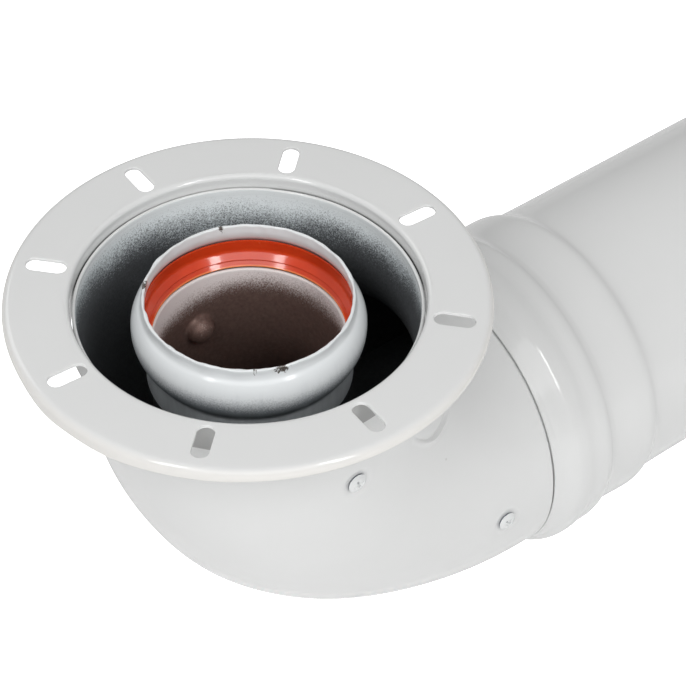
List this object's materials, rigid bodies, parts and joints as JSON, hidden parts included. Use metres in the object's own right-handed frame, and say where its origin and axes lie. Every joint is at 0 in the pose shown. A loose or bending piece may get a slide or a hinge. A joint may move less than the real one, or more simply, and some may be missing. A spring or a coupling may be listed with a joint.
{
  "type": "flue elbow",
  "caption": "Coaxial right-angle flue elbow: a slotted boiler flange and bent white casing round an inner duct with a lip-sealed socket, and the push-fit flue pipe on its outlet.",
  "frame": {"origin": "centre of the flange's boiler face, on the axis of the inlet", "axes": "+Z out of the boiler face, back up the inlet; +X along the outlet pipe, away from the elbow"},
  "size_m": [0.4082, 0.1456, 0.1569],
  "materials": {
    "white_paint": "gloss white powder coat",
    "socket_paint": "white overspray on aluminium, thinning with depth",
    "cast_duct": "dull cast, dusted with overspray near the mouth",
    "tube": "mill finish",
    "silicone": "glossy silicone",
    "black_rubber": "satin rubber",
    "screw_metal": "zinc plated, painted over, worn in the recess",
    "bush_metal": "sawn tube",
    "spacer_plastic": "moulded"
  },
  "bodies": {
    "elbow": {"flange_ring": "white_paint", "outer_elbow": "white_paint", "inlet_socket": "socket_paint", "inner_elbow": "cast_duct", "inlet_seal": "silicone", "screw_inlet_front": "screw_metal", "bush_inlet_front": "bush_metal", "screw_inlet_rear": "screw_metal", "bush_inlet_rear": "bush_metal", "screw_outlet_front": "screw_metal", "bush_outlet_front": "bush_metal", "screw_outlet_rear": "screw_metal", "bush_outlet_rear": "bush_metal"},
    "inner_tube": {"inner_pipe": "tube", "inner_pipe_seal": "silicone", "spacer_near": "spacer_plastic", "spacer_far": "spacer_plastic"},
    "outer_tube": {"outer_pipe": "white_paint", "outer_pipe_seal": "black_rubber"}
  },
  "joints": [
    {"name": "pipe_pull", "type": "slide", "parent": "elbow", "child": "inner_tube", "axis": [1, 0, 0], "range_m": [0, 0.055]},
    {"name": "pipe_turn", "type": "hinge", "parent": "inner_tube", "child": "outer_tube", "pos_m": [0.0854, 0, -0.1019], "axis": [1, 0, 0], "continuous": true}
  ]
}
